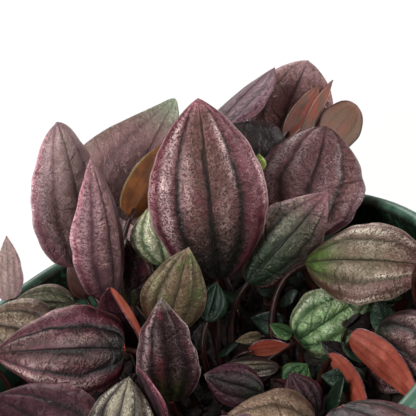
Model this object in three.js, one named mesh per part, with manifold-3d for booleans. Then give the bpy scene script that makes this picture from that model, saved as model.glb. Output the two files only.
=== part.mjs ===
// Potted peperomia: a round green nursery pot, its potting mix, and the ribbed leaves that rise
// from the mix, each one piece with its own leaf stalk.
// Millimetres, +Z up. The origin is the middle of the flat underside of the pot.
import * as THREE from 'three';
import { mergeVertices } from 'three/addons/utils/BufferGeometryUtils.js';
import Module from 'manifold-3d';

const wasm = await Module();
wasm.setup();

// Pot: a tapered wall, a wider collar above an inside ledge, and a rolled rim.
const POT_HEIGHT = 118;
const RIM_RADIUS = 80;
const RIM_BEAD = 2.2;
const COLLAR_HEIGHT = 15;
const COLLAR_STEP = 3.4;
const COLLAR_FLARE = 1.2;
const POT_WALL = 1.8;
const POT_FLOOR = 2.6;
const BASE_RADIUS = 54;
const BASE_CORNER = 2;
const POT_SEGMENTS = 36;
const DRAIN_HOLES = 6;
const DRAIN_RADIUS = 5;
const DRAIN_CIRCLE = 37;

// Potting mix, and the gap kept between pieces that touch.
const SOIL_TOP = 98;
const CLEARANCE = 0.3;

// Leaves: thick and a little fleshy, thinner at their points, on round stalks that ease out of
// the upright and into the midrib. STALK_INSET is how far up the blade a stalk runs.
const BLADE_THICKNESS = 1.2;
const BLADE_STUB = 0.4;
const POINT_THICKNESS = 0.5;
const POINT_REACH = 3;
const STALK_RADIUS = 1.2;
const STALK_SIDES = 5;
const STALK_STEPS = 6;
const STALK_INSET = 0.09;
const STALK_EASE = 0.4;
const FOOT_PULL = 0.55;
const RING_FOOT_PULL = 0.88;
const LARGE_BLADE = 24;
const SMALL_STALK_SCALE = 0.75;

// How quickly an outline swells from its base and narrows to its tip.
const FORMS = {
  ovate: { base: 0.75, tip: 1.0 },
  heart: { base: 0.55, tip: 0.9 },
  lance: { base: 0.85, tip: 1.0 },
  kite: { base: 1.0, tip: 1.7 },
  round: { base: 0.6, tip: 0.5 },
};

// Colour of each kind of leaf, as it shows from above.
const TONES = {
  burgundy: 0x6e4650,
  mauve: 0x8c6d70,
  dark: 0x4b3038,
  olive: 0x6b6450,
  gold: 0x8d7f63,
  green: 0x5f8a60,
  brick: 0x9a4a3a,
};

// Rows across and along a blade where its outline is drawn, as parts of its width and length.
const ACROSS_TOP = [-1, -0.5, 0, 0.5, 1];
const ACROSS_UNDER = [0.5, 0, -0.5];
const ALONG = [0, 0.07, 0.2, 0.38, 0.56, 0.74, 0.9, 1];

// Every leaf: base is where the stalk meets the blade. turn is the heading of the midrib, 0 along
// +Y and 90 along +X; rise is its slope; spin rolls the blade about it. curl bends the blade along
// its length, arch across its width, and fold lifts its two halves. foot is where its stalk leaves
// the mix; without one the stalk stands FOOT_PULL of the way out to the base. Angles are degrees.
const LEAVES = [
  { name: 'leaf_centre_tall', tone: 'burgundy', form: 'ovate', base: [18, 14, 126],
    turn: 59, rise: 72, spin: -53, length: 51, width: 34, curl: 34, arch: 60 },
  { name: 'leaf_left_outer', tone: 'mauve', form: 'heart', base: [-14, 40, 133],
    turn: 64, rise: 77, spin: -100, length: 42, width: 28, curl: 20, arch: 70 },
  { name: 'leaf_left_inner', tone: 'mauve', form: 'ovate', base: [-10, 22, 129],
    turn: 66, rise: 76, spin: -102, length: 41, width: 22, curl: 24, arch: 110 },
  { name: 'leaf_back_left_broad', tone: 'mauve', form: 'kite', base: [-1, 50, 139],
    turn: 67, rise: 32, spin: -60, length: 37, width: 33, curl: 10, arch: 40 },
  { name: 'leaf_back_left_folded', tone: 'brick', form: 'heart', base: [3, 44, 139],
    turn: 69, rise: 33, spin: 88, length: 26, width: 13, curl: -10, arch: 10, fold: 20 },
  { name: 'leaf_small_silver', tone: 'green', form: 'lance', base: [7, 24, 131],
    turn: 28, rise: 75, spin: -15, length: 17, width: 17, curl: 20, arch: 40 },
  { name: 'leaf_back_narrow', tone: 'burgundy', form: 'lance', base: [32, 50, 149],
    turn: 56, rise: 7, spin: 13, length: 32, width: 22, curl: 14, arch: 40, foot: [12, 24] },
  { name: 'leaf_back_top', tone: 'mauve', form: 'ovate', base: [48.8, 63, 130.9],
    turn: 63, rise: 38, spin: -30, length: 28.5, width: 27, curl: 20, arch: 50, foot: [44, 46] },
  { name: 'leaf_back_pair_left', tone: 'brick', form: 'lance', base: [53.3, 57, 136],
    turn: 62, rise: 24, spin: 170, length: 19, width: 8, curl: 10, arch: 20, foot: [42, 42] },
  { name: 'leaf_back_pair_right', tone: 'brick', form: 'lance', base: [56.6, 50, 138.4],
    turn: 65, rise: 28, spin: 63, length: 19, width: 9, curl: 10, arch: 30, foot: [46, 40] },
  { name: 'leaf_back_round', tone: 'brick', form: 'round', base: [62.4, 52, 131.3],
    turn: 70, rise: 22, spin: 102, length: 15.5, width: 14, curl: 20, arch: 40, foot: [50, 40] },
  { name: 'leaf_right_broad', tone: 'burgundy', form: 'ovate', base: [44, 20, 127],
    turn: 42, rise: 27, spin: -34, length: 33, width: 32, curl: 30, arch: 60, foot: [45, 13] },
  { name: 'leaf_right_inner', tone: 'olive', form: 'lance', base: [25.6, 14.4, 120.9],
    turn: 83, rise: 26, spin: -59, length: 33, width: 21, curl: 20, arch: 90 },
  { name: 'leaf_right_gold', tone: 'gold', form: 'lance', base: [42.1, 9, 123],
    turn: 126, rise: -6, spin: -33, length: 37, width: 28, curl: 40, arch: 50, foot: [25, 6] },
  { name: 'leaf_bright_green', tone: 'green', form: 'ovate', base: [32.1, -1, 107.2],
    turn: 80, rise: 6, spin: -43, length: 24.5, width: 19.5, curl: 20, arch: 40 },
  { name: 'leaf_green_right', tone: 'green', form: 'lance', base: [54.5, 9, 102.6],
    turn: 120, rise: -4, spin: -30, length: 10, width: 9, curl: 10, arch: 30, foot: [48, 18] },
  { name: 'leaf_olive', tone: 'olive', form: 'ovate', base: [0, 0, 126],
    turn: 74, rise: 51, spin: -66, length: 23, width: 18, curl: 22, arch: 50 },
  { name: 'leaf_front_dark', tone: 'dark', form: 'ovate', base: [-6, -20, 117],
    turn: 53, rise: 69, spin: -46, length: 28, width: 17, curl: 22, arch: 60 },
  { name: 'leaf_front_narrow', tone: 'dark', form: 'lance', base: [-7.4, 0, 121.2],
    turn: -65, rise: 84, spin: 128, length: 22.5, width: 20, curl: -50, arch: 20, fold: 45 },
  { name: 'leaf_low_left_broad', tone: 'burgundy', form: 'ovate', base: [-12.2, -6, 129],
    turn: -65, rise: 8, spin: 46, length: 37, width: 26, curl: 30, arch: 60 },
  { name: 'leaf_low_left_purple', tone: 'dark', form: 'ovate', base: [-28.1, -28, 119],
    turn: -36, rise: 12, spin: 36, length: 37, width: 24, curl: 25, arch: 50 },
  { name: 'leaf_low_silver', tone: 'gold', form: 'heart', base: [-23, -34, 121],
    turn: 51, rise: 42, spin: -22, length: 17, width: 19, curl: 20, arch: 50, foot: [-22, -38] },
  { name: 'leaf_low_upright', tone: 'burgundy', form: 'lance', base: [-10, -32, 117],
    turn: -2, rise: 64, spin: 76, length: 18, width: 15, curl: 15, arch: 30 },
  { name: 'leaf_far_left', tone: 'mauve', form: 'lance', base: [-38, 52, 125],
    turn: 16, rise: 26, spin: 0, length: 22, width: 10, curl: 10, arch: 30 },
  { name: 'leaf_left_olive', tone: 'olive', form: 'lance', base: [-21, 36, 124],
    turn: -69, rise: 18, spin: 39, length: 17, width: 12, curl: 15, arch: 40 },
  { name: 'leaf_left_tan', tone: 'gold', form: 'lance', base: [-29, 24, 123],
    turn: -61, rise: 22, spin: 38, length: 22, width: 21, curl: 20, arch: 40 },
  { name: 'leaf_left_brown', tone: 'brick', form: 'lance', base: [-17, 42, 121],
    turn: -14, rise: 56, spin: -109, length: 11, width: 12, curl: 10, arch: 20 },
  { name: 'leaf_red_upper', tone: 'brick', form: 'heart', base: [44, -17, 112],
    turn: 167, rise: -12, spin: 124, length: 33, width: 10, curl: 45, arch: 20, fold: 10,
    foot: [40, -10] },
  { name: 'leaf_red_lower', tone: 'brick', form: 'lance', base: [36.9, -20, 111.5],
    turn: -178, rise: -19, spin: 123, length: 29, width: 9, curl: 40, arch: 20, fold: 10,
    foot: [30, -17] },
  { name: 'leaf_right_pink', tone: 'burgundy', form: 'ovate', base: [50.4, -16, 108.6],
    turn: 160, rise: -6, spin: -35, length: 27, width: 24, curl: 20, arch: 40, foot: [53, -10] },
  { name: 'leaf_low_dark', tone: 'dark', form: 'lance', base: [17, -20, 108],
    turn: -81, rise: 42, spin: 58, length: 17, width: 12, curl: 20, arch: 30 },
  { name: 'leaf_low_tan', tone: 'gold', form: 'ovate', base: [24, -44, 107],
    turn: -64, rise: 19, spin: 43, length: 24, width: 22, curl: 24, arch: 50 },
  { name: 'leaf_low_brown', tone: 'dark', form: 'lance', base: [27, -33, 104],
    turn: -17, rise: 62, spin: -3, length: 13, width: 11, curl: 10, arch: 40 },
  { name: 'leaf_small_red', tone: 'brick', form: 'lance', base: [56, -1, 103],
    turn: 70, rise: 0, spin: 62, length: 9, width: 9, curl: 10, arch: 20, foot: [49, -6] },
  { name: 'leaf_small_striped', tone: 'gold', form: 'lance', base: [24, -10, 108],
    turn: -98, rise: 28, spin: 17, length: 16, width: 8, curl: 12, arch: 30 },
  { name: 'leaf_small_folded', tone: 'brick', form: 'lance', base: [18.1, -6, 113.6],
    turn: 101, rise: -11, spin: 80, length: 11, width: 6, curl: 10, arch: 20 },
  { name: 'leaf_small_bright', tone: 'green', form: 'lance', base: [24, -14, 103],
    turn: 73, rise: 22, spin: -38, length: 8, width: 10, curl: 10, arch: 30 },
  { name: 'leaf_small_deep_green', tone: 'green', form: 'lance', base: [11, 2, 122],
    turn: 48, rise: 37, spin: -51, length: 11, width: 9, curl: 10, arch: 30 },
];

// Leaves that lean outwards all round the pot, in rings: each heading in turns is one leaf, with
// its base at reach from the middle and at height. From leaf to leaf they differ by up to
// RING_SWAY in height, rise, spin and length, and phase says where in that sway a ring starts.
const RINGS = [
  { name: 'leaf_front_outer', tone: 'burgundy', turns: [153, 171, 188, 206, 223, 240],
    reach: 70, height: 123, rise: -8, length: 37, width: 28, phase: 0 },
  { name: 'leaf_front_inner', tone: 'burgundy', turns: [179, 197, 217, 232],
    reach: 50, height: 126, rise: 27, length: 37, width: 24, phase: 1 },
  { name: 'leaf_right_outer', tone: 'mauve', turns: [95, 104],
    reach: 75, height: 124, rise: -10, length: 30, width: 24, phase: 2 },
  { name: 'leaf_left_outer_ring', tone: 'mauve', turns: [252, 274, 298],
    reach: 60, height: 123, rise: -5, length: 38, width: 27, phase: 1 },
  { name: 'leaf_left_inner_ring', tone: 'burgundy', turns: [244, 265, 287],
    reach: 57, height: 130, rise: 32, length: 35, width: 26, phase: 3 },
  { name: 'leaf_back_outer', tone: 'burgundy', turns: [4, 26],
    reach: 52, height: 122, rise: -2, length: 36, width: 27, phase: 2 },
];
const RING_SWAY = { height: 2.5, rise: 7, spin: 16, length: 3 };
const SWAY_STEP = 2.4;
const RING_CURL = 25;
const RING_ARCH = 40;

const radians = THREE.MathUtils.degToRad;

// Turns a closed three.js geometry into a solid.
function solidFrom(geometry) {
  const bare = geometry.clone();
  bare.deleteAttribute('normal');
  bare.deleteAttribute('uv');
  const merged = mergeVertices(bare);
  return new wasm.Manifold(new wasm.Mesh({
    numProp: 3,
    vertProperties: merged.getAttribute('position').array,
    triVerts: Uint32Array.from(merged.getIndex().array),
  }));
}

// Turns a solid back into a three.js geometry.
function geometryFrom(solid) {
  const mesh = solid.getMesh();
  const geometry = new THREE.BufferGeometry();
  geometry.setAttribute('position', new THREE.Float32BufferAttribute(mesh.vertProperties, 3));
  geometry.setIndex(Array.from(mesh.triVerts));
  geometry.computeVertexNormals();
  return geometry;
}

// Heading, side and upper-face directions of a leaf.
function leafFrame(leaf) {
  const turn = radians(leaf.turn);
  const rise = radians(leaf.rise);
  const axis = new THREE.Vector3(
    Math.sin(turn) * Math.cos(rise), Math.cos(turn) * Math.cos(rise), Math.sin(rise));
  const side = new THREE.Vector3(Math.cos(turn), -Math.sin(turn), 0);
  side.applyAxisAngle(axis, -radians(leaf.spin));
  const normal = new THREE.Vector3().crossVectors(side, axis);
  return { axis, side, normal };
}

// Half width of a blade at a part of its length: zero at base and tip, one at its widest.
function outline(form, along) {
  const { base, tip } = FORMS[form];
  const widest = base / (base + tip);
  const peak = widest ** base * (1 - widest) ** tip;
  return along ** base * (1 - along) ** tip / peak;
}

// A point of the blade, measured from its base: along and across are parts of its length and
// half width, and lift is a distance above its middle surface.
function bladePoint(leaf, along, across, lift) {
  const { axis, side, normal } = leafFrame(leaf);
  const bend = radians(leaf.curl);
  const bendRadius = leaf.length / (2 * Math.sin(bend / 2));
  const angle = bend * (along - 0.5);
  const forward = bendRadius * (Math.sin(angle) + Math.sin(bend / 2));
  const raised = bendRadius * (Math.cos(angle) - Math.cos(bend / 2));
  const up = normal.clone().multiplyScalar(Math.cos(angle)).addScaledVector(axis, Math.sin(angle));

  const half = Math.max(BLADE_STUB, leaf.width / 2 * outline(leaf.form, along));
  const halfArch = radians(leaf.arch / 2);
  const sweep = Math.abs(across) * halfArch;
  const flat = half * Math.sin(sweep) / halfArch;
  const drop = half * (1 - Math.cos(sweep)) / halfArch;
  const fold = radians(leaf.fold ?? 0);
  const sideways = Math.sign(across) * (flat * Math.cos(fold) + drop * Math.sin(fold));
  const above = flat * Math.sin(fold) - drop * Math.cos(fold) + lift;

  return new THREE.Vector3()
    .addScaledVector(axis, forward)
    .addScaledVector(normal, raised)
    .addScaledVector(side, sideways)
    .addScaledVector(up, above);
}

// The blade alone: rings of points across it, joined along its length and closed at both ends.
function bladeSolid(leaf) {
  const points = [];
  for (const along of ALONG) {
    const half = leaf.width / 2 * outline(leaf.form, along);
    const thickness = Math.min(BLADE_THICKNESS, POINT_THICKNESS + half / POINT_REACH);
    for (const across of ACROSS_TOP) {
      const lift = Math.abs(across) === 1 ? 0 : thickness / 2;
      points.push(...bladePoint(leaf, along, across, lift).toArray());
    }
    for (const across of ACROSS_UNDER) {
      points.push(...bladePoint(leaf, along, across, -thickness / 2).toArray());
    }
  }
  const ring = ACROSS_TOP.length + ACROSS_UNDER.length;
  const faces = [];
  for (let row = 0; row < ALONG.length - 1; row++) {
    for (let k = 0; k < ring; k++) {
      const a = row * ring + k;
      const b = row * ring + (k + 1) % ring;
      faces.push(a, b, b + ring, a, b + ring, a + ring);
    }
  }
  const last = (ALONG.length - 1) * ring;
  for (let k = 1; k < ring - 1; k++) {
    faces.push(0, k + 1, k);
    faces.push(last, last + k, last + k + 1);
  }
  const geometry = new THREE.BufferGeometry();
  geometry.setAttribute('position', new THREE.Float32BufferAttribute(points, 3));
  geometry.setIndex(faces);
  return solidFrom(geometry);
}

// The stalk: a round stem that leaves the mix upright and runs on into the midrib.
function stalkSolid(leaf) {
  const base = new THREE.Vector3(...leaf.base);
  const [footX, footY] = leaf.foot ?? [base.x * FOOT_PULL, base.y * FOOT_PULL];
  const foot = new THREE.Vector3(footX, footY, SOIL_TOP + CLEARANCE).sub(base);
  const end = bladePoint(leaf, STALK_INSET, 0, 0);
  const reach = foot.distanceTo(end);
  const arrive = end.clone().normalize().multiplyScalar(-STALK_EASE * reach);
  const path = new THREE.CubicBezierCurve3(
    foot,
    foot.clone().add(new THREE.Vector3(0, 0, STALK_EASE * reach)),
    arrive,
    end);
  const radius = STALK_RADIUS * (leaf.length < LARGE_BLADE ? SMALL_STALK_SCALE : 1);
  const section = new THREE.Shape();
  for (let k = 0; k < STALK_SIDES; k++) {
    const angle = 2 * Math.PI * k / STALK_SIDES;
    const point = [radius * Math.cos(angle), radius * Math.sin(angle)];
    if (k === 0) section.moveTo(...point);
    else section.lineTo(...point);
  }
  section.closePath();
  const tube = new THREE.ExtrudeGeometry(section, {
    steps: STALK_STEPS, bevelEnabled: false, extrudePath: path,
  });
  return solidFrom(tube);
}

function leafMesh(leaf) {
  const geometry = geometryFrom(bladeSolid(leaf).add(stalkSolid(leaf)));
  const material = new THREE.MeshStandardMaterial({
    color: TONES[leaf.tone], roughness: 0.42, metalness: 0.1,
  });
  const mesh = new THREE.Mesh(geometry, material);
  mesh.name = leaf.name;
  mesh.position.set(...leaf.base);
  return mesh;
}

// Spells out the leaves of a ring, each at its own heading.
function ringLeaves(ring) {
  return ring.turns.map((turn, k) => {
    const outX = Math.sin(radians(turn));
    const outY = Math.cos(radians(turn));
    const sway = Math.sin(SWAY_STEP * k + ring.phase);
    const roll = Math.cos(SWAY_STEP * k + ring.phase);
    return {
      name: `${ring.name}_${k + 1}`,
      tone: ring.tone,
      form: 'ovate',
      base: [ring.reach * outX, ring.reach * outY, ring.height - RING_SWAY.height * sway],
      foot: [RING_FOOT_PULL * ring.reach * outX, RING_FOOT_PULL * ring.reach * outY],
      turn,
      rise: ring.rise + RING_SWAY.rise * sway,
      spin: RING_SWAY.spin * roll,
      length: ring.length - RING_SWAY.length * sway,
      width: ring.width,
      curl: RING_CURL,
      arch: RING_ARCH,
    };
  });
}

// Radius of the outside of the pot's wall at a height below the collar.
function wallRadius(height) {
  const collarFoot = POT_HEIGHT - COLLAR_HEIGHT;
  const top = RIM_RADIUS - RIM_BEAD - COLLAR_FLARE - COLLAR_STEP;
  return BASE_RADIUS + (top - BASE_RADIUS) * height / collarFoot;
}

function potMesh() {
  const collarFoot = POT_HEIGHT - COLLAR_HEIGHT;
  const beadHeight = POT_HEIGHT - RIM_BEAD;
  const beadRadius = RIM_RADIUS - RIM_BEAD;
  const collarBottom = beadRadius - COLLAR_FLARE;
  const profile = [
    [0, 0],
    [BASE_RADIUS - BASE_CORNER, 0],
    [wallRadius(BASE_CORNER), BASE_CORNER],
    [wallRadius(collarFoot - COLLAR_STEP), collarFoot - COLLAR_STEP],
    [collarBottom, collarFoot],
    [beadRadius, beadHeight - RIM_BEAD],
  ];
  for (const degrees of [-30, 0, 30, 60, 90, 120, 150, 180]) {
    const angle = radians(degrees);
    profile.push([
      beadRadius + RIM_BEAD * Math.cos(angle), beadHeight + RIM_BEAD * Math.sin(angle)]);
  }
  profile.push(
    [beadRadius - POT_WALL, beadHeight - RIM_BEAD],
    [collarBottom - POT_WALL, collarFoot + POT_WALL],
    [wallRadius(collarFoot) - POT_WALL, collarFoot],
    [wallRadius(POT_FLOOR) - POT_WALL, POT_FLOOR],
    [0, POT_FLOOR],
  );
  const points = profile.map(([r, z]) => new THREE.Vector2(r, z));
  const shell = new THREE.LatheGeometry(points, POT_SEGMENTS);
  shell.rotateX(Math.PI / 2);
  let solid = solidFrom(shell);
  for (let k = 0; k < DRAIN_HOLES; k++) {
    const angle = 2 * Math.PI * k / DRAIN_HOLES;
    const hole = new THREE.CylinderGeometry(DRAIN_RADIUS, DRAIN_RADIUS, 4 * POT_FLOOR, 12);
    hole.rotateX(Math.PI / 2);
    hole.translate(DRAIN_CIRCLE * Math.cos(angle), DRAIN_CIRCLE * Math.sin(angle), 0);
    solid = solid.subtract(solidFrom(hole));
  }
  const material = new THREE.MeshStandardMaterial({
    color: 0x3c6148, roughness: 0.35, metalness: 0,
  });
  const mesh = new THREE.Mesh(geometryFrom(solid), material);
  mesh.name = 'pot';
  return mesh;
}

// The potting mix fills the pot from its floor to a level just below the inside ledge.
function soilMesh() {
  const bottom = POT_FLOOR + CLEARANCE;
  const gap = POT_WALL + 2 * CLEARANCE;
  const points = [
    new THREE.Vector2(0, bottom),
    new THREE.Vector2(wallRadius(bottom) - gap, bottom),
    new THREE.Vector2(wallRadius(SOIL_TOP) - gap, SOIL_TOP),
    new THREE.Vector2(0, SOIL_TOP),
  ];
  const plug = new THREE.LatheGeometry(points, POT_SEGMENTS);
  plug.rotateX(Math.PI / 2);
  const material = new THREE.MeshStandardMaterial({
    color: 0x2a211b, roughness: 0.95, metalness: 0,
  });
  const mesh = new THREE.Mesh(geometryFrom(solidFrom(plug)), material);
  mesh.name = 'potting_mix';
  return mesh;
}

const plant = new THREE.Group();
for (const leaf of [...LEAVES, ...RINGS.flatMap(ringLeaves)]) {
  plant.add(leafMesh(leaf));
}

const pottedPeperomia = new THREE.Group();
pottedPeperomia.add(potMesh(), soilMesh(), plant);

export default pottedPeperomia;
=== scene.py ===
"""Looks of a potted peperomia: ribbed leaves on red stalks, potting mix and a green nursery pot.

Lengths in the classes are millimetres, as in the CAD model. Every mesh is made in metres, in the
frame of the CAD model, with +Z up and the origin under the middle of the pot.
"""
import logging
import math
import random
from dataclasses import dataclass, field, replace
from enum import Enum
from functools import cache

import bpy
import numpy as np
from bpy.types import Material, Mesh, Node, NodeSocket, NodeTree, Object
from mathutils import Matrix, Vector, noise


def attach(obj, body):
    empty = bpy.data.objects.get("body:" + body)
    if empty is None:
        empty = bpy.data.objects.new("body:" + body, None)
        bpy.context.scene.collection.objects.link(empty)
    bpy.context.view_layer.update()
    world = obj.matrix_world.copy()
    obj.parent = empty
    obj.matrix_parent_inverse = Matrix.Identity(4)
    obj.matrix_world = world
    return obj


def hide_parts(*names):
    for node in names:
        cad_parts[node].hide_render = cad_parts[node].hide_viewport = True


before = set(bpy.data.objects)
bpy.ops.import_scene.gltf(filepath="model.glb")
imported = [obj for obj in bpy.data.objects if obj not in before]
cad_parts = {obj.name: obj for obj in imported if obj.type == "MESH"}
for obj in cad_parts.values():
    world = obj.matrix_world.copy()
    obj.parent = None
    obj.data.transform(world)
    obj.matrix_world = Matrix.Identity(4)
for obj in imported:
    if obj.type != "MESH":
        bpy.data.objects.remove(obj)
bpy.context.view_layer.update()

MM = 0.001
LOG = logging.getLogger("peperomia")

# Potting mix level and stalk rules of the CAD model.
SOIL_TOP = 98.0
CLEARANCE = 0.3
STALK_INSET = 0.09
STALK_EASE = 0.4
FOOT_PULL = 0.55
RING_FOOT_PULL = 0.88

# Main veins, as parts of the half width, and the puffed strips between them with their height.
VEINS = (0.0, 0.5, 0.88)
STRIPS = ((0.0, 0.5, 0.85), (0.5, 1.0, 0.75))
STRIP_POWER = 0.5
OUTER_GROOVE_DEPTH = 0.4
OUTER_GROOVE_BREADTH = 0.045
# The margin rolls down in the outer part of the half width, and ripples.
ROLL_BREADTH = 0.22
RIPPLE_HEIGHT = 1.1
MARGIN_UNEVENNESS = 0.07
# How far the lobes beside the stalk go along the blade, and how far back in half widths.
LOBE_LENGTH = 0.14
LOBE_REACH = 0.22
LEAST_HALF_WIDTH = 0.22
# The relief is written for a blade of this width, and grows less than the width does.
HERO_WIDTH = 34.0
# Blades up to the small width are thinner. All are set a little low, so that their relief lies
# about the CAD blade.
BLADE_THICKNESS = 1.0
SMALL_BLADE_THICKNESS = 0.75
SMALL_WIDTH = 14
BLADE_DROP = 0.3
# Painted highlight bands on the strips: side, place and half breadth as parts of the half width,
# how much, and from where to where along the blade.
HIGHLIGHT_BANDS = ((-1, 0.72, 0.1, 1.0, 0.12, 0.97), (-1, 0.36, 0.1, 0.6, 0.35, 0.8),
          (-1, 0.95, 0.035, 0.8, 0.1, 0.75), (1, 0.43, 0.07, 0.9, 0.45, 0.98),
          (1, 0.93, 0.04, 1.0, 0.3, 0.92), (1, 0.22, 0.1, 0.35, 0.15, 0.55))
HIGHLIGHT_BAND_FADE = 0.15
# A blade has the least share of its thickness at its margin and tip, and all of it this far in.
THINNEST = 0.4
THICK_FROM_MARGIN = 2.5
THICK_HALF_WIDTH = 3
# Stalks: how deep the foot stands in the mix, the radius of each kind, and how it tapers. A stalk
# is thin when its blade is shorter than the long one.
STALK_ROOT = 1.2
STALK_RADIUS = 1.15
THIN_STALK_RADIUS = 0.85
YOUNG_STALK_RADIUS = 0.6
STALK_TAPER = (1.15, 0.62)
LONG_BLADE = 24
# Columns of faces over half a blade: closer beside the veins, and few on a young leaf.
ACROSS_HALF = (0.0, 0.04, 0.1, 0.18, 0.26, 0.34, 0.42, 0.46, 0.5, 0.54, 0.6, 0.68, 0.76, 0.82,
               0.86, 0.88, 0.9, 0.94, 0.98, 1.0)
ACROSS_FEW = (0.0, 0.1, 0.3, 0.5, 0.7, 0.88, 1.0)
ROWS_FEW = 12
# What the finishes of a blade read from its mesh.
BLADE_ATTRIBUTES = (("leaf_mm", "Vector"), ("across", "Fac"), ("along", "Fac"), ("vein_mm", "Fac"),
                    ("gleam", "Fac"))


class Tone(Enum):
    """Names of the material slots that are logged with the leaves."""

    BURGUNDY = "leaf_burgundy"
    MAUVE = "leaf_mauve"
    DARK = "leaf_dark"
    OLIVE = "leaf_olive"
    GOLD = "leaf_gold"
    GREEN = "leaf_green"
    BRICK = "leaf_brick"


class Form(Enum):
    """How quickly an outline swells from its base and narrows to its tip."""

    OVATE = (0.5, 0.92)
    SHIELD = (0.62, 0.8)
    SPADE = (0.55, 1.4)
    ELLIPTIC = (0.8, 0.85)
    LOW = (0.5, 0.78)
    HEART = (0.45, 0.95)
    BROAD = (0.52, 0.62)
    LANCE = (0.68, 0.9)
    ROUND = (0.5, 0.5)


def linear(code: str) -> tuple[float, float, float, float]:
    """Turns an sRGB hex colour into the linear colour that a shader takes.

    Args:
        code: Six hex digits.

    Returns:
        Linear red, green, blue and an alpha of one.
    """
    parts = [int(code[k:k + 2], 16) / 255 for k in (0, 2, 4)]
    red, green, blue = (c / 12.92 if c <= 0.04045 else ((c + 0.055) / 1.055) ** 2.4 for c in parts)
    return (red, green, blue, 1.0)


# What a node's input takes: a value, a socket, or a node for its first output.
Source = float | tuple | NodeSocket | Node


class Nodes:
    """A node tree, with the steps that repeat in it."""

    def __init__(self, tree: NodeTree) -> None:
        """Takes the tree that the nodes go in."""
        self.tree = tree

    def feed(self, node: Node, inputs: dict[str | int, Source]) -> None:
        """Sets or links inputs of a node.

        Args:
            node: The node that is fed.
            inputs: Input name or index to what it takes.
        """
        for key, value in inputs.items():
            if isinstance(value, Node):
                value = value.outputs[0]
            if isinstance(value, NodeSocket):
                self.tree.links.new(value, node.inputs[key])
            else:
                node.inputs[key].default_value = value

    def add(self, kind: str, inputs: dict[str | int, Source] | None = None,
            **settings: object) -> Node:
        """Adds a node with its settings and inputs.

        Args:
            kind: Type name of the shader node, without ShaderNode before it.
            inputs: Input name or index to what it takes.
            settings: Attributes of the node.

        Returns:
            The new node.
        """
        node = self.tree.nodes.new(f"ShaderNode{kind}")
        for name, value in settings.items():
            setattr(node, name, value)
        self.feed(node, inputs or {})
        return node

    def rise(self, value: Source, low: float, high: float, amount: float = 1.0) -> Node:
        """Gives a soft step from zero at low to amount at high; low may be the larger one.

        Args:
            value: What the step reads.
            low: Value where the step is zero.
            high: Value where the step reaches amount.
            amount: Height of the step.

        Returns:
            The node with the step.
        """
        start, end = (0.0, amount) if low < high else (amount, 0.0)
        return self.add("MapRange", {
            "Value": value, "From Min": min(low, high), "From Max": max(low, high),
            "To Min": start, "To Max": end}, interpolation_type="SMOOTHSTEP")

    def times(self, *values: Source) -> Source:
        """Multiplies values and gives the node with the product."""
        result = values[0]
        for value in values[1:]:
            result = self.add("Math", {0: result, 1: value}, operation="MULTIPLY")
        return result


class Surface(Nodes):
    """A material in the making, painted in layers."""

    def __init__(self, name: str, ground: str) -> None:
        """Makes the material.

        Args:
            name: Name of the material.
            ground: Hex colour under all layers.
        """
        self.material = bpy.data.materials.new(name)
        self.material.use_nodes = True
        super().__init__(self.material.node_tree)
        self.shader = next(n for n in self.tree.nodes if n.type == "BSDF_PRINCIPLED")
        self.colour: Source = linear(ground)

    def paint(self, *layers: tuple[Source, str]) -> None:
        """Lays colours over what is painted so far.

        Args:
            layers: How much of each colour shows, and the colour.
        """
        for amount, code in layers:
            mix = self.add("Mix", {0: amount, 6: self.colour, 7: linear(code)}, data_type="RGBA")
            self.colour = mix.outputs[2]

    def finished(self, inputs: dict[str, Source], *bumps: tuple[Source, float, float]) -> Material:
        """Feeds the shader its colour, its bumps and its other inputs.

        Args:
            inputs: Input name to what it takes.
            bumps: Height, strength and depth in millimetres of each bump, from the lowest one up.
                A depth below zero is a dent.

        Returns:
            The finished material.
        """
        normal = {}
        for height, strength, depth in bumps:
            bump = {"Height": height, "Strength": strength, "Distance": abs(depth) * MM}
            normal = {"Normal": self.add("Bump", bump | normal, invert=depth < 0)}
        self.feed(self.shader, {"Base Color": self.colour} | inputs | normal)
        return self.material


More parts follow.
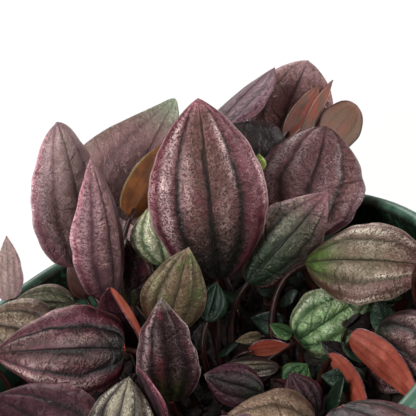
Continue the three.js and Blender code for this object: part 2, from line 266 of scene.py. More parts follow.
@dataclass(frozen=True)
class UpperSkin:
    """Upper face of a peperomia blade: waxy living leaf skin over dark sunken veins.

    The skin is a smooth satin cuticle. It gives broad soft highlights on the puffed strips that
    break up into fine grains, because each skin cell is a tiny dome. Highlight bands and glints
    are also painted on in silver.
    """

    name: str
    centre: str
    flank: str
    margin: str
    base: str
    tip: str
    vein: str
    blush: str
    silver: str
    silver_amount: float
    blush_amount: float = 0.5
    base_reach: float = 0.16
    tip_reach: float = 0.1
    vein_reach: float = 1.05
    vein_depth: float = 0.8
    side_veins: float = 0.2
    lustre: float = 0.38
    grain: float = 0.5
    gleam: float = 0.35
    rim: float = 0.35
    roughness: float = 0.36

    def material(self) -> Material:
        """Makes the material.

        Returns:
            The material of an upper face.
        """
        skin = Surface(f"peperomia_upper_skin_{self.name}", self.centre)
        leaf_mm, across, along, vein_mm, gleam = (
            skin.add("Attribute", attribute_name=name).outputs[output]
            for name, output in BLADE_ATTRIBUTES)
        # Blotches of about 7 mm, clouds of about 2 mm, and skin cells drawn 0.34 mm across,
        # coarser than the real 0.1 mm so that they show.
        blotch, cloud = (
            skin.add("TexNoise", {"Vector": leaf_mm, "Scale": 1 / size, "Detail": detail})
            for size, detail in ((7, 2.0), (2.2, 3.0)))
        cell = skin.add("TexVoronoi", {"Vector": leaf_mm, "Scale": 1 / 0.34})
        cells = skin.add("SeparateColor", {"Color": cell.outputs["Color"]})
        # Side veins run obliquely from the midrib about every 5 mm, with a finer net between them.
        turned = skin.add("Mapping", {"Vector": leaf_mm, "Rotation": (0, 0, math.radians(-38))})
        side = skin.add("TexWave", {"Vector": turned, "Scale": 0.062, "Distortion": 5.5,
                                    "Detail": 2.5, "Detail Scale": 1.5}, bands_direction="Y")
        net = skin.add("TexVoronoi", {"Vector": turned, "Scale": 1 / 2.6},
                       feature="DISTANCE_TO_EDGE")
        branches = {0: skin.rise(side.outputs["Fac"], 0.82, 1.0),
                    1: skin.rise(net, 0.12, 0.0, 0.45)}
        either = skin.add("Math", branches, operation="MAXIMUM")
        side_vein = skin.times(either, skin.rise(blotch, 0.64, 0.4),
                               skin.rise(along, 0.97, 0.75), self.side_veins)
        # Fine strokes of about 1 mm by 5 mm lie across the main veins.
        stretched = skin.add("Mapping", {"Vector": leaf_mm, "Scale": (0.22, 0.85, 1)})
        stroke = skin.add("TexNoise", {"Vector": stretched, "Scale": 1.0, "Detail": 2.0})
        # The edges of the main veins wander by about half a millimetre.
        ragged = skin.add("Math", {0: cloud, 1: 1.5, 2: -0.75}, operation="MULTIPLY_ADD")
        vein_mm = skin.add("Math", {0: vein_mm, 1: ragged})
        notch = skin.times(skin.rise(stroke, 0.56, 0.7), skin.rise(vein_mm, 3.2, 0.6), 0.45)
        # The base colour lies at the foot of the blade: a real green on some leaves, and on the
        # dark ones a painted shade where the blade meets its stalk.
        foot = skin.times(skin.rise(along, self.base_reach, self.base_reach * 0.25),
                          skin.rise(across, 0.95, 0.4))
        # The margin's colour reaches further in beside the base.
        edge = skin.add("Math", {0: across, 1: skin.times(skin.rise(along, 0.55, 0.0), 0.22)})
        # On the crests of the strips silver is painted cell by cell: partly the skin's own silver,
        # partly painted highlight.
        sheen = skin.times(skin.rise(vein_mm, 0.7, 2.4), skin.rise(cells, 0.35, 0.9),
                           skin.rise(cloud, 0.3, 0.74, self.silver_amount))
        # Painted highlight bands, read from the gleam attribute and broken into cells and patches.
        patchy = skin.add("MapRange", {"Value": blotch, "From Min": 0.35, "From Max": 0.6,
                                       "To Min": 0.45})
        highlight_band = skin.times(gleam, skin.rise(cells, 0.1, 0.7), patchy, self.gleam)
        # The main veins are dark and broad at the base, and thin out towards the tip; beside them
        # a wider painted shade darkens the valleys, most towards the base.
        shade = skin.times(skin.rise(vein_mm, self.vein_reach * 2.9, 0.3, 0.62 * self.vein_depth),
                           skin.rise(along, 0.85, 0.15))
        groove = skin.times(skin.rise(vein_mm, self.vein_reach, 0.1, self.vein_depth),
                            skin.rise(along, 1.08, 0.7))
        skin.paint((skin.rise(across, 0.2, 0.62), self.flank),
                   (skin.rise(blotch, 0.48, 0.66, self.blush_amount), self.blush),
                   (foot, self.base),
                   (skin.rise(edge, 0.8, 0.98), self.margin),
                   (skin.rise(along, 1 - self.tip_reach, 1.0), self.tip),
                   # Every cell is a little lighter or darker than the next.
                   (skin.rise(cells, 0.6, 0.05, self.grain), self.vein),
                   (sheen, self.silver), (highlight_band, self.silver), (side_vein, self.vein),
                   (notch, self.vein), (shade, self.vein), (groove, self.vein),
                   # The very edge is thin, and a painted highlight line runs pale along it.
                   (skin.rise(across, 0.96, 0.99, self.rim), self.silver))

        domes = skin.add("Math", {0: cell, 1: cells}, operation="SUBTRACT")
        rough = skin.add("MapRange", {"Value": cells, "To Min": self.roughness - 0.08,
                                      "To Max": self.roughness + 0.12})
        return skin.finished(
            {"Roughness": rough, "IOR": 1.5, "Metallic": self.lustre, "Specular IOR Level": 0.35,
             "Coat Weight": 0.06, "Coat Roughness": 0.28},
            (cloud, 0.7, 0.6), (notch, 0.4, -0.25), (side_vein, 0.8, -0.8), (domes, 0.8, -0.09))


@dataclass(frozen=True)
class UnderSkin:
    """Lower face of a peperomia blade: matt, evenly coloured leaf skin with fine raised veins.

    It is duller than the upper face, red from the pigment in its lower cells.
    """

    name: str
    centre: str
    patch: str
    margin: str
    vein: str
    roughness: float = 0.5

    def material(self) -> Material:
        """Makes the material.

        Returns:
            The material of a lower face.
        """
        skin = Surface(f"peperomia_lower_skin_{self.name}", self.centre)
        leaf_mm, across, along, vein_mm = (
            skin.add("Attribute", attribute_name=name).outputs[output]
            for name, output in BLADE_ATTRIBUTES[:4])
        # Clouds of about 5 mm, and skin grain drawn at 0.6 mm, coarser than the real 0.1 mm.
        cloud, grain = (
            skin.add("TexNoise", {"Vector": leaf_mm, "Scale": 1 / size, "Detail": detail})
            for size, detail in ((5, 3.0), (0.6, 2.0)))
        skin.paint((skin.rise(cloud, 0.4, 0.66), self.patch),
                   (skin.rise(along, 0.7, 1.0, 0.5), self.patch),
                   (skin.rise(vein_mm, 0.8, 0.1, 0.28), self.vein),
                   (skin.rise(across, 0.86, 1.0), self.margin),
                   (skin.rise(grain, 0.5, 0.32, 0.3), self.vein))
        return skin.finished({"Roughness": self.roughness, "IOR": 1.43}, (grain, 0.5, 0.15))


@dataclass(frozen=True)
class StalkSkin:
    """Leaf stalk: juicy, slightly glossy red-brown stem skin with pale flecks along it."""

    dark: str = "170907"
    light: str = "38180f"
    fleck: str = "523024"

    def material(self) -> Material:
        """Makes the material.

        Returns:
            The material of the stalks.
        """
        skin = Surface("peperomia_stalk_skin_red_brown", self.dark)
        place = skin.add("TexCoord").outputs["Object"]
        # Streaks of about 1 mm by 5 mm that run up the stalk, and flecks of about 0.7 mm.
        long = skin.add("Mapping", {"Vector": place, "Scale": (1000, 1000, 200)})
        streak = skin.add("TexNoise", {"Vector": long, "Scale": 1.0, "Detail": 3.0})
        fleck = skin.add("TexNoise", {"Vector": place, "Scale": 1 / (0.7 * MM), "Detail": 1.0})
        skin.paint((skin.rise(streak, 0.35, 0.65), self.light),
                   (skin.rise(fleck, 0.62, 0.72, 0.5), self.fleck))
        return skin.finished({"Roughness": 0.38, "IOR": 1.42}, (streak, 0.4, 0.2))


@dataclass(frozen=True)
class MouldedPolypropylene:
    """Injection-moulded green polypropylene: even colour, satin gloss, flow lines and scuffs."""

    colour: str = "285540"
    pale: str = "3c7054"
    dust: str = "5d6a58"
    collar_shade: str = "17160f"
    rim_highlight: str = "648471"

    def material(self) -> Material:
        """Makes the material.

        Returns:
            The material of the pot.
        """
        shell = Surface("moulded_polypropylene_green", self.colour)
        place = shell.add("TexCoord").outputs["Object"]
        # Flow lines about 3 mm apart that run up the wall, scuffs of about 1.5 mm, and clouds of
        # about 40 mm.
        flow = shell.add("Mapping", {"Vector": place, "Scale": (330, 330, 20)})
        lines = shell.add("TexNoise", {"Vector": flow, "Scale": 1.0, "Detail": 4.0})
        scuff, cloud = (
            shell.add("TexNoise", {"Vector": place, "Scale": 1 / (size * MM), "Detail": detail})
            for size, detail in ((1.5, 6.0), (40, 3.0)))
        # The inside of the collar, above the ledge, is painted near black: painted shade under the
        # rim, broken up by the scuffs.
        parts = shell.add("SeparateXYZ", {"Vector": place}).outputs
        flat = shell.add("CombineXYZ", {"X": parts["X"], "Y": parts["Y"]})
        radius = shell.add("VectorMath", {0: flat}, operation="LENGTH").outputs["Value"]
        collar_shade_mask = shell.times(shell.rise(radius, 76.6 * MM, 75.9 * MM),
                            shell.rise(radius, 74.2 * MM, 74.7 * MM),
                            shell.rise(parts["Z"], 103.5 * MM, 105.5 * MM),
                            shell.rise(scuff, 0.3, 0.5, 0.95))
        # The top of the rim is painted paler: a painted highlight where the rolled rim catches the
        # light.
        rim_highlight = shell.times(shell.rise(parts["Z"], 116.4 * MM, 117.8 * MM, 0.55),
                           shell.rise(lines, 0.25, 0.6))
        shell.paint((shell.rise(lines, 0.35, 0.7, 0.35), self.pale),
                    (shell.times(shell.rise(scuff, 0.6, 0.75, 0.5),
                                 shell.rise(cloud, 0.45, 0.65)), self.dust),
                    (collar_shade_mask, self.collar_shade), (rim_highlight, self.rim_highlight))
        rough = shell.add("MapRange", {"Value": scuff, "To Min": 0.3, "To Max": 0.5})
        return shell.finished({"Roughness": rough, "IOR": 1.49}, (lines, 0.25, 0.2))


@dataclass(frozen=True)
class PeatAndBark:
    """Moist peat and composted bark: near black crumbs, browner where they are dry."""

    wet: str = "0f0b08"
    dry: str = "2c2019"
    bark: str = "3c2a1f"

    def material(self) -> Material:
        """Makes the material.

        Returns:
            The material of the potting mix.
        """
        mix = Surface("peat_and_bark_mix", self.wet)
        place = mix.add("TexCoord").outputs["Object"]
        # Crumbs of about 2.5 mm, fibres of about 0.5 mm, and patches of bark of about 9 mm.
        crumb, fibre, patch = (
            mix.add("TexNoise", {"Vector": place, "Scale": 1 / (size * MM), "Detail": detail})
            for size, detail in ((2.5, 5.0), (0.5, 3.0), (9, 2.0)))
        mix.paint((mix.rise(crumb, 0.38, 0.66), self.dry),
                  (mix.rise(patch, 0.55, 0.7, 0.5), self.bark))
        return mix.finished({"Roughness": 0.92}, (fibre, 0.8, 0.6))


@dataclass(frozen=True)
class StudioPaper:
    """Matt white background paper: an even tone with a faint tooth.

    Away from the plant it is lit from behind, so that it stays pale to its far edge.
    """

    colour: str = "fbfbfa"
    tooth: str = "f1f1ef"
    # Where the light behind it begins and where it is full, in metres, and its strength.
    lit: tuple[float, float, float] = (0.3, 1.3, 0.93)

    def material(self) -> Material:
        """Makes the material.

        Returns:
            The material of the floor.
        """
        paper = Surface("studio_paper_white", self.colour)
        place = paper.add("TexCoord").outputs["Object"]
        tooth = paper.add("TexNoise", {"Vector": place, "Scale": 1 / (1.2 * MM)})
        paper.paint((paper.rise(tooth, 0.3, 0.7, 0.02), self.tooth))
        away = paper.add("VectorMath", {0: place}, operation="LENGTH").outputs["Value"]
        return paper.finished({"Roughness": 0.9, "Emission Strength": paper.rise(away, *self.lit),
                               "Emission Color": linear(self.colour)})


# Lower faces.
BRICK_UNDER = UnderSkin("brick", "94432f", "a0503c", "a7705a", "6b2b20")
RED_UNDER = UnderSkin("red", "a24a39", "bd6450", "8a4436", "4e1d17")
PALE_EDGED_UNDER = UnderSkin("pale_edged", "94452f", "604c3c", "d8c9ac", "5d3328")
ORANGE_UNDER = UnderSkin("orange", "744522", "56331c", "8c8650", "3c2213", 0.42)
BROWN_UNDER = UnderSkin("brown", "725642", "7d4c3b", "3a2a20", "4c392c")
DUSK_UNDER = UnderSkin("dusk", "43221d", "562c24", "7a4034", "281313")
GREEN_UNDER = UnderSkin("green", "5f7a45", "6f8a50", "8a9a60", "41552f")

# Upper faces: name, colours of the centre, flank, margin, base, tip, vein, blush and silver, and
# how much silver.
HERO = UpperSkin("tall", "6a4842", "6a3b42", "87384a", "28241f", "a46972", "161712", "7b3d4a",
    "e2c6c2", 0.18, base_reach=0.42, vein_reach=1.15, vein_depth=0.9, gleam=0.8, rim=0.5)
MAUVE = UpperSkin("mauve", "c0a39d", "b39190", "ab6f7b", "7a6260", "a48086", "5a484a", "8a686d",
    "cfbbc1", 0.35, vein_depth=0.6, side_veins=0.35, grain=0.45, gleam=0.45)
ROSE = UpperSkin("rose", "956f6e", "93666c", "9c5865", "6a4e50", "ac7e85", "3f2c30", "7d5560",
    "c2a4a8", 0.35, vein_depth=0.65, side_veins=0.35, gleam=0.7)
GREY_TIPPED = UpperSkin("grey_tipped", "92706d", "8e6a67", "8a7266", "5a5048", "93a086", "654e50",
    "856064", "9a8a88", 0.3, tip_reach=0.38, vein_reach=1.2, vein_depth=0.6, side_veins=0.22,
    grain=0.42, gleam=0.25)
SILVER_GREEN = UpperSkin("silver_green", "c3c3a3", "9c9c78", "6f6247", "6a7a4a", "85785c",
    "3d5538", "86986a", "ecebd4", 0.7, grain=0.3)
PLUM = UpperSkin("plum", "76505a", "6a424e", "753947", "3c2c30", "703d4c", "3a272c", "643945",
    "a28790", 0.45, vein_depth=0.75, side_veins=0.6, gleam=0.6)
DUSK_ROSE = UpperSkin("dusk_rose", "875e5b", "875b57", "9a6c6a", "33302d", "b89292", "38292a",
    "6a4042", "9d8280", 0.25, tip_reach=0.3, vein_depth=0.75, side_veins=0.4, gleam=0.45)
QUILTED = UpperSkin("quilted", "82585a", "774c4a", "6a353d", "4a3a3a", "6c4a4a", "281f20",
    "6d4548", "a99a9c", 0.45, side_veins=0.22, grain=0.52, gleam=0.85)
MOSS = UpperSkin("moss", "4a5040", "614a48", "9a6468", "2c4630", "93606a", "242b20", "6a5f52",
    "97907c", 0.45, base_reach=0.6, tip_reach=0.42, vein_depth=0.85, side_veins=0.4, gleam=0.8,
    rim=0.6)
GOLD = UpperSkin("gold", "80705a", "6c4e48", "74443f", "5a8a30", "744648", "45402a", "7a5a50",
    "dcd0ba", 0.28, base_reach=0.35, tip_reach=0.5, gleam=0.9)
BRIGHT_GREEN = UpperSkin("bright_green", "9bbb7e", "a9c691", "b9c090", "5d8a46", "6f9c5c",
    "2a4a26", "6c9a55", "f2f5de", 0.85, vein_depth=0.7, side_veins=0.35, grain=0.38, gleam=0.8)
OLIVE = UpperSkin("olive", "755f49", "5c4f37", "6f5545", "4a4a38", "a08a70", "453c2c", "47602a",
    "a89b7b", 0.4, blush_amount=0.6, gleam=0.6)
NIGHT = UpperSkin("night", "35201f", "43262a", "613c3e", "3b451b", "857970", "1b1316", "6c2f39",
    "b9a3a2", 0.14, blush_amount=0.75, base_reach=0.35, tip_reach=0.16, gleam=0.6, rim=0.65,
    roughness=0.34)
DARK_PLUM = UpperSkin("dark_plum", "45222a", "4c242d", "652e39", "2e2226", "54313b", "22181b",
    "5e2c39", "80585f", 0.25, gleam=0.5)
PINK_SILVER = UpperSkin("pink_silver", "66403d", "60383c", "74363f", "3b4232", "814954", "1e1c1a",
    "744450", "d3b6ae", 0.5, base_reach=0.35, vein_reach=1.1, vein_depth=0.9, gleam=0.9)
CRIMSON = UpperSkin("crimson", "4f2f2f", "5e2d39", "7c2f40", "2c2a26", "814954", "1c1a18",
    "7a3f50", "d3b6ae", 0.2, base_reach=0.22, vein_reach=0.8, vein_depth=0.95, grain=0.52,
    gleam=0.9, rim=0.45)
WHITE_GOLD = UpperSkin("white_gold", "988e77", "33201f", "57302f", "4a3c38", "897e6b", "3a3230",
    "8f8466", "e8e2cc", 0.2, blush_amount=0.15, vein_depth=0.95, gleam=0.8)
PINK_EDGED = UpperSkin("pink_edged", "503a3e", "5d3d45", "974757", "3a2c2e", "894854", "2a2022",
    "503844", "746167", 0.3, grain=0.38)
PALE_MAUVE = UpperSkin("pale_mauve", "b49a90", "b8988f", "a8838a", "a08478", "b07a80", "6a5558",
    "95727a", "dccac0", 0.5, vein_depth=0.3, side_veins=0.3, grain=0.38)
SAGE = UpperSkin("sage", "5f5e46", "5f5947", "6e3f38", "4f4a3a", "6f4e44", "3a382c", "4f5a30",
    "a8a386", 0.45, gleam=0.7)
TAN = UpperSkin("tan", "7b6350", "745b4d", "684743", "5a5a3a", "72574f", "40342c", "59453d",
    "d2c5a8", 0.6, gleam=0.8)
HONEY = UpperSkin("honey", "a98d74", "9a7d69", "8a6554", "5c6a34", "a58a70", "4a3a2c", "8a6c5a",
    "c4ae90", 0.6, vein_depth=0.75, side_veins=0.35, grain=0.38, gleam=0.65)
SHADE_GREEN = UpperSkin("shade_green", "1a2e1e", "1d3322", "2a4028", "162419", "30482f", "14241a",
    "1b2c22", "3f5a48", 0.4, grain=0.38)
LEAF_GREEN = UpperSkin("leaf_green", "3f6235", "3b5c33", "5a7446", "2d4723", "557344", "21401f",
    "305029", "7d9a6c", 0.45, grain=0.38)
LIME = UpperSkin("lime", "9cab5c", "93a455", "a9b56e", "7f9448", "a3b066", "4f6e2a", "93a54f",
    "c5cf92", 0.4, grain=0.38)
MIXED = UpperSkin("mixed", "403633", "552c38", "5f2f3a", "3a4a34", "998a80", "241c1e", "374633",
    "75636c", 0.15, base_reach=0.4, gleam=0.7)
SHADOW = UpperSkin("shadow", "2a1d1d", "261a1b", "392526", "20241c", "4a3438", "15110f", "2c2a26",
    "4a3a3c", 0.12, side_veins=0.3, lustre=0.12, grain=0.38, gleam=0.15)
WINE = UpperSkin("wine", "754d4e", "704148", "6c3641", "352a2a", "844f5a", "231f1f", "6b3642",
    "b39493", 0.5, base_reach=0.4, grain=0.38, rim=0.1)

Finish = UpperSkin | UnderSkin | StalkSkin | MouldedPolypropylene | PeatAndBark | StudioPaper


@cache
def material_of(finish: Finish) -> Material:
    """Gives the material of a finish, which is made once."""
    return finish.material()


def dress(piece: Object, *finishes: Finish) -> None:
    """Gives a piece the materials of its finishes and no others.

    Args:
        piece: The object to dress.
        finishes: What its surfaces are, in the order of its material slots.
    """
    piece.data.materials.clear()
    for finish in finishes:
        piece.data.materials.append(material_of(finish))


def choose(*pieces: Object) -> None:
    """Makes pieces the only selected ones, and the first of them active.

    Args:
        pieces: The objects to work on; with none, nothing is selected.
    """
    bpy.ops.object.select_all(action="DESELECT")
    for piece in pieces:
        piece.select_set(True)
    if pieces:
        bpy.context.view_layer.objects.active = pieces[0]


def apply_all(piece: Object) -> None:
    """Applies a piece's modifiers in their order.

    Args:
        piece: The object to work on.
    """
    choose(piece)
    for modifier in list(piece.modifiers):
        bpy.ops.object.modifier_apply(modifier=modifier.name)


def join(pieces: list[Object], name: str) -> Object:
    """Joins pieces into the first one.

    Args:
        pieces: The objects to join.
        name: Name of the result.

    Returns:
        The joined object.
    """
    choose(*pieces)
    if len(pieces) > 1:
        bpy.ops.object.join()
    pieces[0].name = pieces[0].data.name = name
    return pieces[0]


def close_seams() -> None:
    """Merges doubles of the active object and turns its faces outwards."""
    bpy.ops.object.mode_set(mode="EDIT")
    bpy.ops.mesh.select_all(action="SELECT")
    bpy.ops.mesh.remove_doubles(threshold=0.01 * MM)
    bpy.ops.mesh.normals_make_consistent(inside=False)
    bpy.ops.object.mode_set(mode="OBJECT")


def seat(piece: Object, slot: str, nodes: tuple[str, ...] = ()) -> None:
    """Hands a finished piece to the frame and reports it.

    Args:
        piece: The finished object.
        slot: Name of the material slot, for the log.
        nodes: CAD nodes that the piece stands for.
    """
    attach(piece, "root")
    for node in nodes:
        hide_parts(node)
    LOG.info("%s: %d faces, slot %s", piece.name, len(piece.data.polygons), slot)


@dataclass
class Leaf:
    """One blade with its stalk. Lengths are millimetres and angles degrees.

    base is where the stalk meets the blade. turn is the heading of the midrib, 0 along +Y and 90
    along +X; rise is its slope; spin rolls the blade about it. curl bends the blade along its
    length and arch across its width. fold lifts its two halves, and fold_right the right one more.
    foot is where the stalk leaves the mix, ease how straight it leaves and arrives, and
    stalk_depth how far above the middle of the blade it ends. puff scales the strips, blunt rounds
    the tip, wavy is how uneven margin and veins are, and few makes a young leaf with few faces.
    """

    name: str
    tone: Tone
    form: Form
    base: tuple[float, float, float]
    turn: float
    rise: float
    spin: float
    length: float
    width: float
    curl: float
    arch: float
    upper: UpperSkin = WINE
    under: UnderSkin = BRICK_UNDER
    fold: float = 0.0
    fold_right: float = 0.0
    foot: tuple[float, float] | None = None
    ease: float = STALK_EASE
    stalk_depth: float = -0.75
    puff: float = 1.0
    blunt: float = 0.0
    wavy: float = 1.0
    seed: int = 0
    few: bool = False

    def directions(self) -> tuple[np.ndarray, np.ndarray, np.ndarray]:
        """Gives the heading, side and upper-face directions.

        Returns:
            Three unit vectors.
        """
        turn, rise, spin = (math.radians(a) for a in (self.turn, self.rise, self.spin))
        axis = np.array([math.sin(turn) * math.cos(rise), math.cos(turn) * math.cos(rise),
                         math.sin(rise)])
        flat = np.array([math.cos(turn), -math.sin(turn), 0.0])
        side = flat * math.cos(spin) + np.cross(flat, axis) * math.sin(spin)
        return axis, side, np.cross(side, axis)

    def uneven(self, along: np.ndarray, spacing: float, aside: np.ndarray,
               key: float) -> np.ndarray:
        """Gives smooth noise over the blade.

        Args:
            along: Parts of the length.
            spacing: Distance between swells along the blade.
            aside: Second coordinate of the noise.
            key: Third coordinate, which tells one noise from another.

        Returns:
            Values from -1 to 1.
        """
        steps = zip(along * self.length / spacing, aside)
        return np.array([noise.noise(Vector((s, v, key))) for s, v in steps])

    def half_width(self, along: np.ndarray) -> np.ndarray:
        """Half width of the blade at parts of its length.

        Args:
            along: Parts of the length, from base to tip.

        Returns:
            Half widths.
        """
        base, tip = self.form.value
        widest = base / (base + tip)
        peak = widest ** base * (1 - widest) ** tip
        inside = np.clip(along, 0, 1)
        share = inside ** base * (1 - inside) ** tip / peak
        # A blunt tip is rounded, as where the very end is curled over.
        share = share + self.blunt * np.sqrt(np.clip(1 - inside ** 6, 0, 1)) * inside ** 4
        return np.maximum(LEAST_HALF_WIDTH, self.width / 2 * share)

    def surface(self, along: np.ndarray, across: np.ndarray, lift: np.ndarray) -> np.ndarray:
        """Places points of the blade, as the CAD model does.

        Args:
            along: Parts of the length.
            across: Parts of the half width, from -1 to 1.
            lift: Heights above the middle surface.

        Returns:
            Points, one row for each input.
        """
        axis, side, normal = self.directions()
        bend = math.radians(self.curl)
        radius = self.length / (2 * math.sin(bend / 2))
        angle = bend * (along - 0.5)
        forward = radius * (np.sin(angle) + math.sin(bend / 2))
        raised = radius * (np.cos(angle) - math.cos(bend / 2))
        # No margin is quite even, and the two sides differ.
        uneven = self.uneven(along, 4.5, 3.0 * np.sign(across), 5.9 * self.seed + 3)
        half = self.half_width(along) * (1 + MARGIN_UNEVENNESS * self.wavy * uneven)
        # The two lobes at the base reach back a little past the stalk.
        lobe = np.exp(-(along / LOBE_LENGTH) ** 2)
        forward = forward - LOBE_REACH * half * (1 - (1 - np.abs(across)) ** 2) * lobe
        half_arch = math.radians(self.arch / 2)
        sweep = np.abs(across) * half_arch
        flat = half * np.sin(sweep) / half_arch
        drop = half * (1 - np.cos(sweep)) / half_arch
        fold = np.radians(self.fold + self.fold_right * (across > 0))
        sideways = np.sign(across) * (flat * np.cos(fold) + drop * np.sin(fold))
        above = flat * np.sin(fold) - drop * np.cos(fold) + lift
        up = np.outer(np.cos(angle), normal) + np.outer(np.sin(angle), axis)
        return (np.array(self.base) + np.outer(forward, axis) + np.outer(raised, normal)
                + np.outer(sideways, side) + above[:, None] * up)

    def wandered(self, along: np.ndarray, across: np.ndarray) -> np.ndarray:
        """Shifts parts of the half width, so that the veins wander instead of running true.

        Args:
            along: Parts of the length.
            across: Parts of the half width, from -1 to 1.

        Returns:
            The shifted parts.
        """
        both = self.uneven(along, 12, np.full_like(along, 0.5), 4.1 * self.seed)
        each = self.uneven(along, 9, 4.0 * np.sign(across), 6.7 * self.seed + 21)
        away = np.abs(across)
        return across + (1 - away) * (0.09 * both + 0.2 * each * away) * self.wavy ** 0.5

    def relief(self, along: np.ndarray, across: np.ndarray) -> np.ndarray:
        """Height of the puffed strips between the sunken veins.

        Args:
            along: Parts of the length.
            across: Parts of the half width, from -1 to 1.

        Returns:
            Heights.
        """
        half = self.half_width(along)
        scale = self.puff * (self.width / HERO_WIDTH) ** 0.9
        local = (half / (self.width / 2)) ** 0.7
        off = np.abs(self.wandered(along, across))
        swell = np.zeros_like(along)
        for low, high, height in STRIPS:
            inside = np.clip((off - low) / (high - low), 0, 1)
            swell += height * np.sin(math.pi * inside) ** STRIP_POWER
        # The outer veins run out into the margin past the middle of the blade.
        fade = 1 - np.clip((along - 0.5) / 0.4, 0, 1)
        groove = np.exp(-((off - VEINS[2]) / OUTER_GROOVE_BREADTH) ** 2)
        swell -= OUTER_GROOVE_DEPTH * fade * groove
        waves = self.uneven(along, 7, across * half / 5, 7.3 * self.seed)
        quilt = self.uneven(along, 3.2, across * half / 3.4, 3.1 * self.seed + 40)
        swell = swell * (1 + 0.45 * waves + 0.2 * quilt)
        away = np.abs(across)
        roll = np.clip((away - 1 + ROLL_BREADTH) / ROLL_BREADTH, 0, 1) ** 2
        ripple = self.uneven(along, 8, 5.0 * np.sign(across), 11.7 * self.seed + 9)
        edge = RIPPLE_HEIGHT * self.wavy * ripple * away ** 4 * np.minimum(1, half / 6)
        return scale * local * (swell - roll) + edge * min(1.0, self.width / 22)

    def mark(self, mesh: Mesh, along: np.ndarray, across: np.ndarray) -> None:
        """Stores what the finishes read: places on the blade, vein distances and painted highlight
        bands.

        Args:
            mesh: Mesh of the blade.
            along: Part of the length at each vertex.
            across: Part of the half width at each vertex, from -1 to 1.
        """
        half = self.half_width(along)
        away = np.abs(across)
        # Veins are thinner where the blade is narrow, and narrow to their tips.
        reach = np.sqrt(half * self.width / 2) * (HERO_WIDTH / self.width) ** 0.4
        placed = self.wandered(along, across)
        off = np.abs(placed)
        main = VEINS[:1] if self.few else VEINS[:2]
        vein = np.min([np.abs(off - v) * reach for v in main], axis=0)
        # The outer veins are fainter, and a young leaf has none.
        outer = np.abs(off - VEINS[2]) * reach + 0.55 + 3.0 * np.clip((along - 0.3) / 0.4, 0, 1)
        if not self.few:
            vein = np.minimum(vein, outer)
        # The painted highlight bands, each on one side of a strip.
        highlight_band = np.zeros_like(along)
        for hand, place, wide, level, start, end in HIGHLIGHT_BANDS:
            ends = (np.clip((along - start) / HIGHLIGHT_BAND_FADE, 0, 1)
                    * np.clip((end - along) / HIGHLIGHT_BAND_FADE, 0, 1))
            bell = np.exp(-((off - place) / wide) ** 2) * (np.sign(placed) == hand)
            highlight_band = np.maximum(highlight_band, level * ends * bell)
        for label, numbers in (("across", away), ("along", along), ("gleam", highlight_band),
                               ("vein_mm", vein * (0.6 + 0.9 * along))):
            layer = mesh.attributes.new(label, "FLOAT", "POINT")
            layer.data.foreach_set("value", numbers.astype(np.float32))
        # The two halves and the leaves lie far apart in the patterns.
        place = np.stack([away * half + 100.0 * (across > 0), along * self.length,
                          np.full_like(along, 37.0 * self.seed)], axis=1)
        layer = mesh.attributes.new("leaf_mm", "FLOAT_VECTOR", "POINT")
        layer.data.foreach_set("vector", place.astype(np.float32).ravel())

    def blade(self) -> Object:
        """Models the blade: a grid shaped into the leaf and thickened.

        Returns:
            The blade object.
        """
        halves = ACROSS_FEW if self.few else ACROSS_HALF
        columns = np.array([-v for v in halves[:0:-1]] + list(halves))
        rows = ROWS_FEW if self.few else max(20, round(self.length * 1.15) + 8)
        choose()
        bpy.ops.mesh.primitive_grid_add(x_subdivisions=len(columns) - 1, y_subdivisions=rows - 1,
                                        size=2.0)
        piece = bpy.context.object
        mesh = piece.data
        flat = np.array([v.co for v in mesh.vertices])
        across = columns[np.rint((flat[:, 0] + 1) / 2 * (len(columns) - 1)).astype(int)]
        row = np.rint((flat[:, 1] + 1) / 2 * (rows - 1)).astype(int)
        along = 0.5 * (1 - np.cos(np.pi * row / (rows - 1)))
        thickness = BLADE_THICKNESS if self.width > SMALL_WIDTH else SMALL_BLADE_THICKNESS
        lift = self.relief(along, across) + thickness / 2 - BLADE_DROP
        points = self.surface(along, across, lift) * MM
        mesh.vertices.foreach_set("co", points.astype(np.float32).ravel())
        self.mark(mesh, along, across)

        dress(piece, self.upper, self.under)
        # The blade is thinner towards its margin and tip.
        group = piece.vertex_groups.new(name="thickness")
        half = self.half_width(along)
        inner = np.clip((1 - np.abs(across)) * half / THICK_FROM_MARGIN, 0, 1)
        inner *= np.minimum(1, half / THICK_HALF_WIDTH)
        for index, weight in enumerate(THINNEST + (1 - THINNEST) * inner):
            group.add([index], float(weight), "REPLACE")
        wall = piece.modifiers.new("thickness", "SOLIDIFY")
        wall.thickness = thickness * MM
        wall.offset = -1.0
        wall.vertex_group = group.name
        wall.use_even_offset = False
        wall.material_offset = 1
        apply_all(piece)
        piece.vertex_groups.clear()
        bpy.ops.object.shade_smooth_by_angle(angle=math.radians(55))
        return piece

